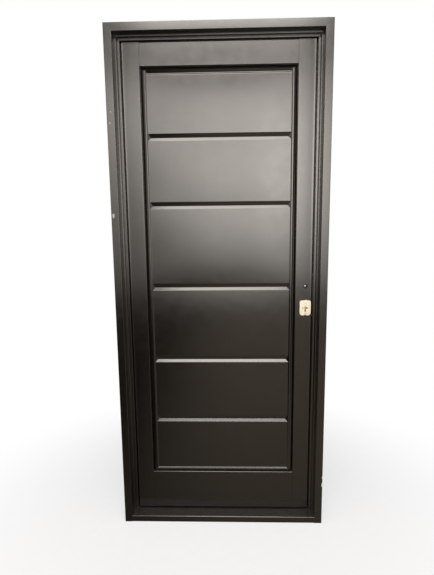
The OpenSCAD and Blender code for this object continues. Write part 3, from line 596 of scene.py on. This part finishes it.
def ease_ends(bm, out):
    """Straightens the slope under the top rail, and fills most of the lowest narrow groove."""
    field = sorted(field_depths(bm))[0 if out < 0 else 1]
    crest = min((v.co.z for v in bm.verts if (v.co.y - field) * out > MM), default=0)
    brow = max(v.co.z for v in bm.verts if abs(v.co.y - field) < SAME_DEPTH)
    low, high = (crest + z for z in LOW_GROOVE)
    for point in bm.verts:
        if abs(point.co.z - brow) < SAME_DEPTH:
            point.co.y -= out * BROW_BACK
        if low < point.co.z < high and (field - point.co.y) * out > LOW_GROOVE_DEEP:
            point.co.y += out * GROOVE_FILL
    bm.normal_update()


def cut_field(bm, depth):
    """Cuts the field at that depth into cells. Gives its half width and its rows."""
    points = {v for f in flat_at(bm, depth) for v in f.verts}
    reach = max(v.co.x for v in points)
    levels = sorted({round(v.co.z, 5) for v in points})
    cut_flat(bm, depth, [(2, level) for level in levels[1:-1]])
    heights = [f.calc_center_median().z for f in flat_at(bm, depth)]
    rows = [(low, high) for low, high in zip(levels, levels[1:])
            if any(low < z < high for z in heights)]
    cut_flat(bm, depth, [(0, reach * (2 * k / CELLS_ACROSS - 1)) for k in range(1, CELLS_ACROSS)])
    cut_flat(bm, depth, [(2, low + (high - low) * k / CELLS_UP) for low, high in rows
                         for k in range(1, CELLS_UP)])
    slanted = [e for e in dict.fromkeys(e for f in flat_at(bm, depth) for e in f.edges)
               if all(abs(e.verts[0].co[k] - e.verts[1].co[k]) > SAME_PLACE for k in (0, 2))]
    bmesh.ops.dissolve_edges(bm, edges=slanted, use_verts=False)
    return reach, rows


def swell(bm, depth, reach, rows, out):
    """Bows each row out, most in its middle, with a set slope at its upper and lower edge."""
    for point in bm.verts:
        if abs(point.co.y - depth) > SAME_DEPTH:
            continue
        for low, high in rows:
            half = (high - low) / 2
            across, along = point.co.x / reach, (point.co.z - low) / half - 1
            if abs(along) < 1 and abs(across) < 1:
                rise = FIELD_SLOPE * half / 2
                point.co.y += out * rise * (1 - across ** 4) * (1 - along ** 2)
                break


for node, out in (("outer_panel", -1), ("inner_panel", 1)):
    bm = bmesh.new()
    bm.from_mesh(nodes[node].data)
    bmesh.ops.remove_doubles(bm, verts=bm.verts, dist=WELD)
    draw_together(bm)
    ease_ends(bm, out)
    fields = [(depth, *cut_field(bm, depth)) for depth in field_depths(bm)]
    kept = {e for depth, *_ in fields for f in flat_at(bm, depth) for e in f.edges}
    bmesh.ops.dissolve_limit(bm, angle_limit=FLAT_ANGLE, verts=[],
                             edges=[e for e in bm.edges if e not in kept])
    bm.normal_update()
    # Right under the top rail the creases stay sharp, or they would mirror the ceiling lamps.
    sharp_from = max(v.co.z for v in bm.verts) - SHARP_END
    creases = [e for e in sharp_edges(bm, CREASE_ANGLE) if min(v.co.z for v in e.verts) < sharp_from
               and all(abs(f.normal.y) > 0.1 for f in e.link_faces)]
    round_edges(bm, creases, CREASE, CREASE_SEGMENTS)
    for depth, reach, rows in fields:
        swell(bm, depth, reach, rows, out)
    piece = show(bm, node, "black_paint")
    for facet in piece.data.polygons:
        facet.use_smooth = facet.center.z < sharp_from
    print(node, "rows", len(rows), "creases", len(creases), "faces", len(piece.data.polygons))

# %% [markdown]
# ## Hinges, lock and plates
# These are thick, stamped or turned parts, and each shows a small broken edge. They get a
# bevel of a third to two thirds of a millimetre.

# %% Small parts with broken edges
HINGES = [f"hinge_{place}_{half}_half" for place in ("low", "mid", "high")
          for half in ("frame", "leaf")]
BROKEN_ANGLE, BROKEN_SEGMENTS = 40, 2
# A broken edge: the solid, its slot, the width in millimetres and the finish.
BROKEN = ([(n, "black_paint", 0.5, frame_enamel if "frame" in n else leaf_enamel) for n in HINGES]
          + [(f"hinge_{p}_pin", "zinc_steel", 0.6, zinc) for p in ("low", "mid", "high")]
          + [("outer_key_plate", "nickel_plate", 0.35, nickel),
             ("inner_key_plate", "nickel_plate", 0.35, nickel),
             ("lock_forend", "zinc_steel", 0.3, zinc),
             ("strike_plate", "black_paint", 0.3, frame_enamel),
             ("latch_bolt", "zinc_steel", 0.4, oiled),
             ("deadbolt", "nickel_plate", 0.4, nickel)])
for node, slot, width, finish in BROKEN:
    bm = welded(node)
    round_edges(bm, sharp_edges(bm, BROKEN_ANGLE), width, BROKEN_SEGMENTS)
    show(bm, node, slot, finish)
print("parts with broken edges:", len(BROKEN))

# %% [markdown]
# ## Slotted screws and the latch spring
# A turned screw has a slot for the driver. The flat of each head is inset, two cuts across
# mark out a strip, and the strip is pushed down, so the mesh stays closed. The spring pushes
# the latch out. It is dressed like the other solids and gets a mesh of its own.

# %% Screw slots and spring
SCREW_SLOT, SCREW_SLOT_DEEP, SCREW_RIM = 1.1 * MM, 0.7 * MM, 0.5 * MM
HEAD_REACH, STRIP_REACH = 3 * MM, 0.1 * MM
FIRST_TURN, NEXT_TURN = 8, 31
bm = welded("key_plate_screws")
middle = sum((p.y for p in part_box("hinge_stile")), 0.0) / 2
heads = [f for f in bm.faces
         if f.normal.y * math.copysign(1, f.calc_center_median().y - middle) > 0.9]
for k, head in enumerate(heads):
    bmesh.ops.inset_individual(bm, faces=[head], thickness=SCREW_RIM)
    centre, face_out = head.calc_center_median(), head.normal.copy()
    turn = math.radians(FIRST_TURN + NEXT_TURN * k)
    across = Vector((math.cos(turn), 0, math.sin(turn)))
    for side in (-1, 1):
        flats = [f for f in bm.faces if f.normal.dot(face_out) > 0.99
                 and (f.calc_center_median() - centre).length < HEAD_REACH
                 and abs(f.calc_center_median().y - centre.y) < SAME_PLACE]
        bmesh.ops.bisect_plane(bm, geom=with_borders(flats), dist=CUT_TOUCH, plane_no=across,
                               plane_co=centre + across * side * SCREW_SLOT / 2)
    strip = [f for f in bm.faces if f.normal.dot(face_out) > 0.99
             and (f.calc_center_median() - centre).length < STRIP_REACH]
    made = bmesh.ops.extrude_discrete_faces(bm, faces=strip)["faces"]
    bmesh.ops.translate(bm, verts=list({v for f in made for v in f.verts}),
                        vec=-face_out * SCREW_SLOT_DEEP)
show(bm, "key_plate_screws", "brass")

spring = show(welded("latch_spring"), "latch_spring", "zinc_steel")
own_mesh(spring)

# %% [markdown]
# ## Every other solid
# Seals, straps, screws and the inside of the lock are right as they are. Each takes a finish
# by a word in its name, and what has none of these words is zinc plated.

# %% Finishes on the solids that stay
KINDS = {"seal": rubber, "washer": brass, "follower": oiled, "lock_c": oiled, "key_pin": nickel}
stay = [n for n, o in nodes.items() if not o.hide_render]
for node in stay:
    finish = next((f for word, f in KINDS.items() if word in node), zinc)
    mesh = nodes[node].data
    mesh.materials.clear()
    mesh.materials.append(finish)
print("solids that stay:", stay)

# %% [markdown]
# ## Size
# Dressing must not change the door's size, so its box is measured once the door is dressed.

# %% Size and finish
low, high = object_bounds()
print("visual box:", [round(c, 4) for c in high - low])
